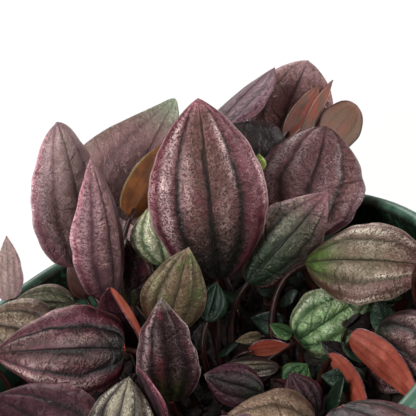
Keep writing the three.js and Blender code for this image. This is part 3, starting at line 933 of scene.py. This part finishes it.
    def stalk(self) -> Object:
        """Models the stalk as a curve from the mix into the midrib, and makes it a mesh.

        Returns:
            The stalk object.
        """
        base = np.array(self.base)
        foot = np.array([*(self.foot or base[:2] * FOOT_PULL), SOIL_TOP + CLEARANCE])
        inset = np.array([STALK_INSET])
        end = self.surface(inset, np.zeros(1), np.full(1, self.stalk_depth))[0]
        middle = self.surface(inset, np.zeros(1), np.zeros(1))[0]
        reach = float(np.linalg.norm(middle - foot))
        heading = (middle - base) / np.linalg.norm(middle - base)
        upright = np.array([0, 0, 1])
        choose()
        bpy.ops.curve.primitive_bezier_curve_add()
        curve = bpy.context.object.data
        first, last = curve.splines[0].bezier_points
        for point in (first, last):
            point.handle_left_type = point.handle_right_type = "FREE"
        first.co = (foot - STALK_ROOT * upright) * MM
        first.handle_left = (foot - 3 * upright) * MM
        first.handle_right = (foot + self.ease * reach * upright) * MM
        last.co = end * MM
        last.handle_left = (base - heading * self.ease * reach) * MM
        last.handle_right = (end + heading) * MM
        first.radius, last.radius = STALK_TAPER
        radius = STALK_RADIUS if self.length >= LONG_BLADE else THIN_STALK_RADIUS
        curve.dimensions = "3D"
        curve.resolution_u = 6 if self.few else 14
        curve.bevel_depth = (YOUNG_STALK_RADIUS if self.few else radius) * MM
        curve.bevel_resolution = 1 if self.few else 3
        curve.use_fill_caps = True
        choose(bpy.context.object)
        bpy.ops.object.convert(target="MESH")
        stem = bpy.context.object
        dress(stem, StalkSkin())
        close_seams()
        bpy.ops.object.shade_smooth()
        return stem

    def build(self) -> Object:
        """Models the whole leaf.

        Returns:
            The finished leaf, blade and stalk in one mesh.
        """
        return join([self.blade(), self.stalk()], f"peperomia_{self.name}")


LEAVES = [
    Leaf("centre_tall", Tone.BURGUNDY, Form.SHIELD, (18, 14, 126), 59, 72, -53, 51, 34, 34, 60,
         HERO, wavy=0.6),
    Leaf("left_outer", Tone.MAUVE, Form.LOW, (-14, 40, 133), 64, 77, -100, 42, 28, 20, 70, MAUVE,
         puff=0.6, blunt=0.16, wavy=0.6),
    Leaf("left_inner", Tone.MAUVE, Form.OVATE, (-10, 22, 129), 66, 76, -102, 41, 22, 24, 110, ROSE,
         puff=0.7),
    Leaf("back_left_broad", Tone.MAUVE, Form.SPADE, (-1, 50, 139), 67, 32, -60, 37, 34, 10, 40,
         GREY_TIPPED, puff=0.45, blunt=0.2, wavy=0.4),
    Leaf("back_left_folded", Tone.BRICK, Form.HEART, (3, 44, 139), 69, 33, 88, 26, 13, -10, 10,
         WINE, ORANGE_UNDER, fold=20, puff=0.3),
    Leaf("small_silver", Tone.GREEN, Form.LANCE, (7, 24, 131), 28, 75, -15, 17, 17, 20, 40,
         SILVER_GREEN),
    Leaf("back_narrow", Tone.BURGUNDY, Form.LANCE, (32, 50, 149), 56, 7, 13, 32, 22, 14, 40, PLUM,
         foot=(12, 24), puff=0.55),
    Leaf("back_top", Tone.MAUVE, Form.BROAD, (48.8, 63, 130.9), 63, 38, -30, 28.5, 27, 20, 50,
         DUSK_ROSE, foot=(44, 46), puff=0.6),
    Leaf("back_pair_left", Tone.BRICK, Form.LANCE, (53.3, 57, 136), 62, 24, 170, 19, 8, 10, 20,
         WINE, PALE_EDGED_UNDER, foot=(42, 42), puff=0.2),
    Leaf("back_pair_right", Tone.BRICK, Form.LANCE, (56.6, 50, 138.4), 65, 28, 63, 19, 9, 10, 30,
         WINE, PALE_EDGED_UNDER, foot=(46, 40), puff=0.2),
    Leaf("back_round", Tone.BRICK, Form.ROUND, (62.4, 52, 131.3), 70, 22, 102, 15.5, 14, 20, 40,
         WINE, BROWN_UNDER, foot=(50, 40), puff=0.25),
    Leaf("right_broad", Tone.BURGUNDY, Form.BROAD, (44, 20, 127), 42, 27, -34, 33, 32, 30, 60,
         QUILTED, foot=(45, 13), puff=0.7),
    Leaf("right_inner", Tone.OLIVE, Form.LANCE, (25.6, 14.4, 120.9), 83, 26, -59, 33, 21, 20, 90,
         MOSS, puff=0.9, wavy=2.4),
    Leaf("right_gold", Tone.GOLD, Form.ELLIPTIC, (42.1, 9, 123), 126, -6, -33, 37, 24, 40, 50,
         GOLD, foot=(25, 6), puff=0.8),
    Leaf("bright_green", Tone.GREEN, Form.OVATE, (32.1, -1, 107.2), 80, 6, -43, 24.5, 19.5, 20, 40,
         BRIGHT_GREEN, GREEN_UNDER, wavy=1.8),
    Leaf("green_right", Tone.GREEN, Form.LANCE, (54.5, 9, 102.6), 120, -4, -30, 10, 9, 10, 30,
         LEAF_GREEN, GREEN_UNDER, foot=(48, 18)),
    Leaf("olive", Tone.OLIVE, Form.OVATE, (0, 0, 126), 74, 51, -66, 23, 18, 22, 50, OLIVE),
    Leaf("front_dark", Tone.DARK, Form.OVATE, (-6, -20, 117), 53, 69, -46, 28, 17, 22, 50, NIGHT,
         puff=0.5, wavy=2.2),
    Leaf("front_narrow", Tone.DARK, Form.LANCE, (-7.4, 0, 121.2), -65, 84, 100, 22.5, 20, -50, 20,
         DARK_PLUM, RED_UNDER, fold=22, fold_right=42, puff=0.5, blunt=0.2),
    Leaf("low_left_broad", Tone.BURGUNDY, Form.OVATE, (-12.2, -6, 129), -65, 8, 46, 37, 26, 30, 60,
         CRIMSON, puff=0.85),
    Leaf("low_left_purple", Tone.DARK, Form.OVATE, (-28.1, -28, 119), -36, 12, 36, 37, 24, 25, 50,
         DARK_PLUM, RED_UNDER, puff=0.6),
    Leaf("low_silver", Tone.GOLD, Form.HEART, (-23, -34, 121), 51, 42, -22, 17, 19, 20, 50,
         WHITE_GOLD, foot=(-22, -38)),
    Leaf("low_upright", Tone.BURGUNDY, Form.LANCE, (-10, -32, 117), -2, 64, 76, 18, 15, 15, 30,
         PINK_EDGED),
    Leaf("far_left", Tone.MAUVE, Form.HEART, (-38, 52, 125), 16, 26, 0, 22, 9, 10, 30, PALE_MAUVE,
         puff=0.4),
    Leaf("left_olive", Tone.OLIVE, Form.LANCE, (-21, 36, 124), -69, 18, 39, 17, 12, 15, 40, SAGE),
    Leaf("left_tan", Tone.GOLD, Form.LANCE, (-29, 24, 123), -61, 22, 38, 22, 21, 20, 40, TAN),
    Leaf("left_brown", Tone.BRICK, Form.LANCE, (-17, 42, 121), -14, 56, -109, 11, 12, 10, 20, WINE,
         DUSK_UNDER, puff=0.3),
    Leaf("red_upper", Tone.BRICK, Form.HEART, (44, -17, 112), 167, -12, 124, 33, 10, 45, 20, WINE,
         RED_UNDER, fold=10, foot=(40, -10), puff=0.3, ease=0.1, stalk_depth=0.6),
    Leaf("red_lower", Tone.BRICK, Form.LANCE, (36.9, -20, 111.5), -178, -19, 123, 29, 9, 40, 20,
         WINE, RED_UNDER, fold=10, foot=(30, -17), puff=0.3, ease=0.1, stalk_depth=0.6),
    Leaf("right_pink", Tone.BURGUNDY, Form.OVATE, (50.4, -16, 108.6), 160, -6, -35, 27, 24, 20, 40,
         PINK_SILVER, foot=(53, -10)),
    Leaf("low_dark", Tone.DARK, Form.LANCE, (17, -20, 108), -81, 42, 58, 17, 12, 20, 30, MIXED),
    Leaf("low_tan", Tone.GOLD, Form.OVATE, (24, -44, 107), -64, 19, 43, 24, 22, 24, 50, HONEY),
    Leaf("low_brown", Tone.DARK, Form.LANCE, (27, -33, 104), -17, 62, -3, 13, 11, 10, 40,
         DARK_PLUM, DUSK_UNDER),
    Leaf("small_red", Tone.BRICK, Form.LANCE, (56, -1, 103), 70, 0, 62, 9, 9, 10, 20, WINE,
         RED_UNDER, foot=(49, -6), puff=0.3),
    Leaf("small_striped", Tone.GOLD, Form.LANCE, (24, -10, 108), -98, 28, 17, 16, 8, 12, 30,
         WHITE_GOLD),
    Leaf("small_folded", Tone.BRICK, Form.LANCE, (18.1, -6, 113.6), 101, -11, 80, 11, 6, 10, 20,
         WINE, RED_UNDER, puff=0.3),
    Leaf("small_bright", Tone.GREEN, Form.LANCE, (24, -14, 103), 73, 22, -38, 8, 10, 10, 30,
         LEAF_GREEN, GREEN_UNDER),
    Leaf("small_deep_green", Tone.GREEN, Form.LANCE, (11, 2, 122), 48, 37, -51, 11, 9, 10, 30,
         SHADE_GREEN, GREEN_UNDER),
]


@dataclass
class LeafRing:
    """Leaves that lean outwards round the pot, one for each heading in turns.

    From leaf to leaf the sway goes on by sway_step radians, from phase, and changes the height,
    slope, roll and length by up to the other sway values.
    """

    name: str
    tone: Tone
    skins: tuple[UpperSkin, ...]
    turns: tuple[float, ...]
    reach: float
    height: float
    rise: float
    length: float
    width: float
    phase: float
    curl: float = 25
    arch: float = 40
    sway_step: float = 2.4
    sway_height: float = 2.5
    sway_rise: float = 7.0
    sway_spin: float = 16.0
    sway_length: float = 3.0

    def leaves(self) -> list[Leaf]:
        """Spells out the leaves of the ring.

        Returns:
            One leaf for each heading.
        """
        found = []
        for k, turn in enumerate(self.turns):
            x = self.reach * math.sin(math.radians(turn))
            y = self.reach * math.cos(math.radians(turn))
            sway = math.sin(self.sway_step * k + self.phase)
            roll = math.cos(self.sway_step * k + self.phase)
            found.append(Leaf(
                f"{self.name}_{k + 1}", self.tone, Form.OVATE,
                (x, y, self.height - self.sway_height * sway), turn,
                self.rise + self.sway_rise * sway, self.sway_spin * roll,
                self.length - self.sway_length * sway, self.width, self.curl, self.arch,
                self.skins[k % len(self.skins)], foot=(RING_FOOT_PULL * x, RING_FOOT_PULL * y)))
        return found


RINGS = [
    LeafRing("front_outer", Tone.BURGUNDY, (WINE, PINK_SILVER, HERO, QUILTED),
             (153, 171, 188, 206, 223, 240), 70, 123, -8, 37, 28, 0),
    LeafRing("front_inner", Tone.BURGUNDY, (ROSE, WINE, PLUM, PINK_SILVER),
             (179, 197, 217, 232), 50, 126, 27, 37, 24, 1),
    LeafRing("right_outer", Tone.MAUVE, (ROSE, MAUVE), (95, 104), 75, 124, -10, 30, 24, 2),
    LeafRing("left_outer_ring", Tone.MAUVE, (MAUVE, ROSE, DUSK_ROSE), (252, 274, 298), 60, 123, -5,
             38, 27, 1),
    LeafRing("left_inner_ring", Tone.BURGUNDY, (WINE, QUILTED, PLUM), (244, 265, 287), 57, 130, 32,
             35, 26, 3),
    LeafRing("back_outer", Tone.BURGUNDY, (WINE, PLUM), (4, 26), 52, 122, -2, 36, 27, 2),
]


@dataclass
class YoungLeaves:
    """Small young leaves on short stalks that fill the space between the large ones.

    count leaves are strewn with the seed, clear of the space where water reaches the mix. The
    others are listed.
    """

    name: str
    tone: Tone
    skins: tuple[UpperSkin, ...]
    under: UnderSkin
    count: int
    seed: int
    placed: tuple[Leaf, ...]
    spread: float = 64.0
    # Corners of the clear space, and the margin kept round it.
    clear_low: tuple[float, float] = (-42.0, -17.0)
    clear_high: tuple[float, float] = (-26.0, 25.0)
    margin: float = 9.0

    def build(self) -> Object:
        """Models the leaves and joins them.

        Returns:
            The joined object.
        """
        chance = random.Random(self.seed)
        pieces = []
        while len(pieces) < self.count:
            angle = math.radians(chance.uniform(0, 360))
            reach = self.spread * math.sqrt(chance.uniform(0.02, 1.0))
            x, y = reach * math.sin(angle), reach * math.cos(angle)
            height = chance.uniform(100.5, 108.5)
            turn, rise = chance.uniform(0, 360), chance.uniform(-5, 50)
            spin, length = chance.uniform(-35, 35), chance.uniform(7, 12)
            if all(low - self.margin < v < high + self.margin
                   for v, low, high in zip((x, y), self.clear_low, self.clear_high)):
                continue
            leaf = Leaf("young", self.tone, Form.OVATE, (x, y, height), turn, rise, spin, length,
                        0.72 * length, 15, 40, self.skins[len(pieces) % len(self.skins)],
                        self.under, foot=(0.95 * x, 0.95 * y), puff=0.8,
                        seed=200 + self.seed + len(pieces), few=True)
            pieces.append(leaf.build())
        pieces += [leaf.build() for leaf in self.placed]
        return join(pieces, self.name)


YOUNG = [
    YoungLeaves("young_green_leaves", Tone.GREEN, (SHADE_GREEN,), GREEN_UNDER, 46, 5, (
        Leaf("green_right", Tone.GREEN, Form.OVATE, (57.3, -2, 102.9), -67, 37, 56, 7, 6, 10, 30,
             LEAF_GREEN, GREEN_UNDER, foot=(60, -4), few=True),
        Leaf("green_front", Tone.GREEN, Form.OVATE, (4.6, -38, 118), -164, -41, 12, 10, 8, 10, 30,
             SHADE_GREEN, GREEN_UNDER, foot=(6, -34), few=True))),
    YoungLeaves("young_dark_leaves", Tone.DARK, (SHADOW, NIGHT), DUSK_UNDER, 34, 6, (
        Leaf("dark_back", Tone.DARK, Form.OVATE, (45, 40, 137), -54, 55, 49, 19, 21, 20, 40,
             SHADOW, DUSK_UNDER, foot=(34, 34), puff=0.5, seed=301),
        Leaf("dark_left", Tone.DARK, Form.OVATE, (-6.5, 26, 122), 44, 62, -30, 19, 13, 15, 40,
             NIGHT, DUSK_UNDER, foot=(-5, 18), puff=0.5, seed=302))),
    YoungLeaves("young_lime_leaves", Tone.GREEN, (), GREEN_UNDER, 0, 7, (
        Leaf("lime_back", Tone.GREEN, Form.OVATE, (41, 36, 140.5), 90, 71, -78, 5, 4.5, 10, 30,
             LIME, GREEN_UNDER, foot=(30, 30), few=True),
        Leaf("lime_left", Tone.GREEN, Form.OVATE, (23, 0, 112.6), -85, 8, 30, 7, 4, 10, 30, OLIVE,
             GREEN_UNDER, foot=(25, 1), few=True),
        Leaf("lime_right", Tone.GREEN, Form.OVATE, (30.6, -4.5, 112), -70, 42, 10, 6.5, 6, 10, 30,
             LEAF_GREEN, GREEN_UNDER, foot=(29, -6), few=True))),
]


@dataclass
class NurseryPot:
    """Round moulded pot: tapered wall, wider collar above an inside ledge, rolled rim."""

    height: float = 118.0
    rim_radius: float = 80.0
    bead: float = 2.2
    collar_height: float = 15.0
    collar_step: float = 3.4
    collar_flare: float = 1.2
    wall: float = 1.8
    floor: float = 2.6
    base_radius: float = 54.0
    corner: float = 2.0
    segments: int = 96
    # Heights of the rings of faces up the wall.
    levels: tuple[int, ...] = (20, 40, 60, 80)
    holes: int = 6
    hole_radius: float = 5.0
    hole_circle: float = 37.0

    def wall_radius(self, height: float) -> float:
        """Radius of the outside of the wall.

        Args:
            height: Height below the collar.

        Returns:
            The radius.
        """
        top = self.rim_radius - self.bead - self.collar_flare - self.collar_step
        share = height / (self.height - self.collar_height)
        return self.base_radius + (top - self.base_radius) * share

    def profile(self) -> list[tuple[float, float]]:
        """Section of the shell from the axis under the floor, round the rim, to the axis above it.

        Returns:
            Radius and height of each point.
        """
        outside, wall, floor, corner = self.wall_radius, self.wall, self.floor, self.corner
        foot = self.height - self.collar_height
        bead_z = self.height - self.bead
        bead_r = self.rim_radius - self.bead
        low = bead_r - self.collar_flare
        step = foot - self.collar_step
        inside = outside(foot) - wall
        turns = [math.radians(a) for a in (0, 30, 60)]
        rolls = [math.radians(a) for a in range(-60, 181, 20)]
        centre = self.base_radius - corner
        return [
            (0.0, 0.0),
            *((centre + corner * math.sin(a), corner - corner * math.cos(a)) for a in turns),
            *((outside(h), h) for h in (corner, *self.levels, step)),
            # The collar's step and its outside.
            (outside(step) + 0.5, step + 0.3), (low - 0.5, foot - 0.4), (low, foot),
            (low + 0.1, foot + 0.8), (bead_r - 0.05, bead_z - self.bead - 0.4),
            (bead_r + 0.1, bead_z - self.bead),
            *((bead_r + self.bead * math.cos(a), bead_z + self.bead * math.sin(a)) for a in rolls),
            # The collar's inside and the ledge.
            (bead_r - wall - 0.1, bead_z - self.bead), (low - wall + 0.1, foot + wall + 0.6),
            (low - wall - 0.4, foot + wall - 0.1), (inside + 0.5, foot + 0.1),
            (inside, foot - 0.3),
            *((outside(h) - wall, h) for h in (*self.levels[::-1], floor + 1.5)),
            (outside(floor) - wall - 1.5, floor), (0.0, floor)]

    def build(self) -> Object:
        """Models the pot: its section is spun round the axis and the drain holes are cut.

        Returns:
            The pot object.
        """
        points = self.profile()
        choose()
        bpy.ops.mesh.primitive_circle_add(vertices=len(points), radius=0.05)
        pot = bpy.context.object
        pot.name = pot.data.name = "nursery_pot"
        for vertex, (radius, height) in zip(pot.data.vertices, points):
            vertex.co = (radius * MM, 0.0, height * MM)
        bpy.ops.object.mode_set(mode="EDIT")
        bpy.ops.mesh.select_mode(type="EDGE")
        bpy.ops.mesh.select_all(action="DESELECT")
        bpy.ops.object.mode_set(mode="OBJECT")
        # The circle's edge that closes it along the axis goes, and the rest is spun.
        for edge in pot.data.edges:
            edge.select = all(pot.data.vertices[v].co.x < 1e-6 for v in edge.vertices)
        bpy.ops.object.mode_set(mode="EDIT")
        bpy.ops.mesh.delete(type="EDGE")
        bpy.ops.mesh.select_all(action="SELECT")
        bpy.ops.mesh.spin(steps=self.segments, angle=2 * math.pi, center=(0, 0, 0), axis=(0, 0, 1))
        bpy.ops.object.mode_set(mode="OBJECT")
        close_seams()
        cutters = []
        for k in range(self.holes):
            angle = 2 * math.pi * k / self.holes
            place = Vector((math.cos(angle), math.sin(angle), 0)) * self.hole_circle * MM
            choose()
            bpy.ops.mesh.primitive_cylinder_add(vertices=32, radius=self.hole_radius * MM,
                                                depth=12 * MM, location=place)
            cutters.append(bpy.context.object)
        cutter = join(cutters, "drain_cutter")
        cut = pot.modifiers.new("drain_holes", "BOOLEAN")
        cut.operation = "DIFFERENCE"
        cut.solver = "EXACT"
        cut.object = cutter
        apply_all(pot)
        bpy.data.objects.remove(cutter)
        dress(pot, MouldedPolypropylene())
        bpy.ops.object.shade_smooth_by_angle(angle=math.radians(35))
        return pot


@dataclass
class PottingMix:
    """Body of potting mix with a crumbly top."""

    bottom: float = 2.9
    low_radius: float = 52.2
    top_radius: float = 70.2
    segments: int = 72
    rings: int = 30
    crumbs: int = 1500
    seed: int = 11

    def body(self) -> Object:
        """Models the plug of mix: a cone whose top is inset in rings and roughened.

        Returns:
            The plug object.
        """
        choose()
        depth = SOIL_TOP - self.bottom
        bpy.ops.mesh.primitive_cone_add(
            vertices=self.segments, radius1=self.low_radius * MM, radius2=self.top_radius * MM,
            depth=depth * MM, location=(0, 0, (self.bottom + depth / 2) * MM))
        plug = bpy.context.object
        bpy.ops.object.transform_apply(location=True, rotation=False, scale=False)
        bpy.ops.object.mode_set(mode="EDIT")
        bpy.ops.mesh.select_mode(type="FACE")
        bpy.ops.mesh.select_all(action="DESELECT")
        bpy.ops.object.mode_set(mode="OBJECT")
        for face in plug.data.polygons:
            face.select = face.normal.z > 0.9
        bpy.ops.object.mode_set(mode="EDIT")
        for _ in range(self.rings):
            bpy.ops.mesh.inset(thickness=self.top_radius * MM / (self.rings + 1))
        bpy.ops.object.mode_set(mode="OBJECT")
        for vertex in plug.data.vertices:
            x, y, z = vertex.co
            if z > (SOIL_TOP - 0.01) * MM and math.hypot(x, y) < (self.top_radius - 0.5) * MM:
                # Swells about 11 mm apart and lumps about 2.6 mm apart.
                broad = noise.noise(Vector((x, y, 0.3)) / (11 * MM))
                fine = noise.noise(Vector((x, y, 4.7)) / (2.6 * MM))
                vertex.co.z = z + (0.9 * broad + 0.7 * fine - 0.2) * MM
        return plug

    def build(self) -> Object:
        """Models the mix: the plug, with crumbs of peat and bark strewn on it.

        Returns:
            The mix object.
        """
        plug = self.body()
        chance = random.Random(self.seed)
        choose()
        bpy.ops.mesh.primitive_ico_sphere_add(subdivisions=1, radius=1.0)
        model = bpy.context.object
        corners = np.array([v.co for v in model.data.vertices])
        faces = np.array([list(p.vertices) for p in model.data.polygons])
        bpy.data.objects.remove(model)
        points, loops = [], []
        for k in range(self.crumbs):
            angle = chance.uniform(0, 2 * math.pi)
            reach = (self.top_radius - 3) * math.sqrt(chance.uniform(0, 1))
            size = chance.uniform(0.5, 1.5) if chance.random() < 0.85 else chance.uniform(1.5, 2.6)
            scale = size * np.array([1.0, chance.uniform(0.6, 1), chance.uniform(0.4, 0.8)])
            turn = np.array(Matrix.Rotation(chance.uniform(0, 6.28), 3, "Z")
                            @ Matrix.Rotation(chance.uniform(-0.6, 0.6), 3, "X"))
            jitter = np.array([[chance.uniform(0.75, 1.2)] for _ in corners])
            centre = np.array([reach * math.cos(angle), reach * math.sin(angle),
                               SOIL_TOP + chance.uniform(-0.3, 0.9)])
            loops.append(faces + len(corners) * k)
            points.append((corners * jitter * scale) @ turn.T + centre)
        mesh = bpy.data.meshes.new("crumbs")
        points, loops = np.concatenate(points) * MM, np.concatenate(loops)
        mesh.from_pydata(points.tolist(), [], loops.tolist())
        crumbs = bpy.data.objects.new("crumbs", mesh)
        bpy.context.scene.collection.objects.link(crumbs)
        mix = join([plug, crumbs], "peat_and_bark")
        dress(mix, PeatAndBark())
        return mix


@dataclass
class Studio:
    """Camera, soft lights and a plain pale floor."""

    eye: tuple[float, float, float] = (0.0, -480.0, 406.4)
    aim: tuple[float, float, float] = (22.3, 0.0, 154.6)
    roll: float = -21.5
    sensor: float = 36.0
    # Focal length in pixels of the 416-pixel picture.
    focal_pixels: float = 2084.0
    picture: float = 416.0
    floor_size: float = 24.0
    # Where the lamps point, in metres.
    lit: tuple[float, float, float] = (0.01, 0.01, 0.13)
    # Name, place in metres, width and height in metres, watts.
    lights: list[tuple[str, tuple, tuple, float]] = field(default_factory=lambda: [
        ("key_softbox", (-0.6, -0.6, 1.2), (0.6, 0.6), 12.0),
        ("back_softbox", (0.1, 0.9, 0.8), (0.8, 0.25), 7.0),
        ("left_softbox", (-0.95, -0.6, 0.3), (0.18, 0.6), 8.0),
        ("right_softbox", (0.95, -0.6, 0.3), (0.18, 0.6), 7.0),
    ])
    # The surroundings, how strongly they light the plant, and how bright the camera sees them.
    surroundings: str = "fcfcfc"
    fill: float = 0.08
    backdrop: float = 1.0

    def camera(self) -> None:
        """Sets up the camera at the viewing angle."""
        eye, aim = Vector(self.eye) * MM, Vector(self.aim) * MM
        forward = (aim - eye).normalized()
        level = forward.cross(Vector((0, 0, 1))).normalized()
        upright = level.cross(forward)
        lean = math.radians(self.roll)
        right = level * math.cos(lean) + upright * math.sin(lean)
        up = upright * math.cos(lean) - level * math.sin(lean)
        turned = Matrix((right, up, -forward)).transposed().to_4x4()
        data = bpy.data.cameras.new("camera")
        data.sensor_width = self.sensor
        data.lens = self.focal_pixels / self.picture * self.sensor
        data.clip_start, data.clip_end = 0.01, 50
        camera = bpy.data.objects.new("camera", data)
        camera.matrix_world = Matrix.Translation(eye) @ turned
        bpy.context.scene.collection.objects.link(camera)
        bpy.context.scene.camera = camera

    def build(self) -> None:
        """Builds floor, lights, surroundings and camera."""
        choose()
        bpy.ops.mesh.primitive_plane_add(size=self.floor_size, location=(0, 0, 0))
        floor = bpy.context.object
        floor.name = "studio_floor"
        dress(floor, StudioPaper())
        for name, place, (width, height), watts in self.lights:
            data = bpy.data.lights.new(name, "AREA")
            data.shape = "RECTANGLE"
            data.size, data.size_y = width, height
            data.energy = watts
            lamp = bpy.data.objects.new(name, data)
            away = Vector(place) - Vector(self.lit)
            lamp.matrix_world = (Matrix.Translation(place)
                                 @ away.to_track_quat("Z", "Y").to_matrix().to_4x4())
            bpy.context.scene.collection.objects.link(lamp)
        world = bpy.data.worlds.new("surroundings")
        world.use_nodes = True
        world.node_tree.nodes.clear()
        nodes = Nodes(world.node_tree)
        strength = nodes.add("MapRange", {"Value": nodes.add("LightPath"), "To Min": self.fill,
                                          "To Max": self.backdrop})
        glow = nodes.add("Background", {"Color": linear(self.surroundings), "Strength": strength})
        nodes.add("OutputWorld", {"Surface": glow})
        bpy.context.scene.world = world
        bpy.context.scene.view_settings.view_transform = "Standard"
        self.camera()


@dataclass
class Peperomia:
    """The whole plant: large leaves, rings of outer leaves and young leaves."""

    leaves: list[Leaf]
    rings: list[LeafRing]
    young: list[YoungLeaves]

    def build(self) -> None:
        """Builds every leaf and seats it on the frame."""
        grown = self.leaves + [leaf for ring in self.rings for leaf in ring.leaves()]
        for k, leaf in enumerate(grown):
            piece = replace(leaf, seed=k + 1).build()
            seat(piece, leaf.tone.value, (f"leaf_{leaf.name}",))
        for cluster in self.young:
            seat(cluster.build(), cluster.tone.value)


def main() -> None:
    """Builds the studio, the pot, the mix and the plant."""
    logging.basicConfig(level=logging.INFO, format="%(name)s %(message)s")
    Studio().build()
    seat(NurseryPot().build(), "pot_plastic", ("pot",))
    seat(PottingMix().build(), "potting_mix", ("potting_mix",))
    Peperomia(LEAVES, RINGS, YOUNG).build()
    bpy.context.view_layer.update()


if __name__ == "__main__":
    main()
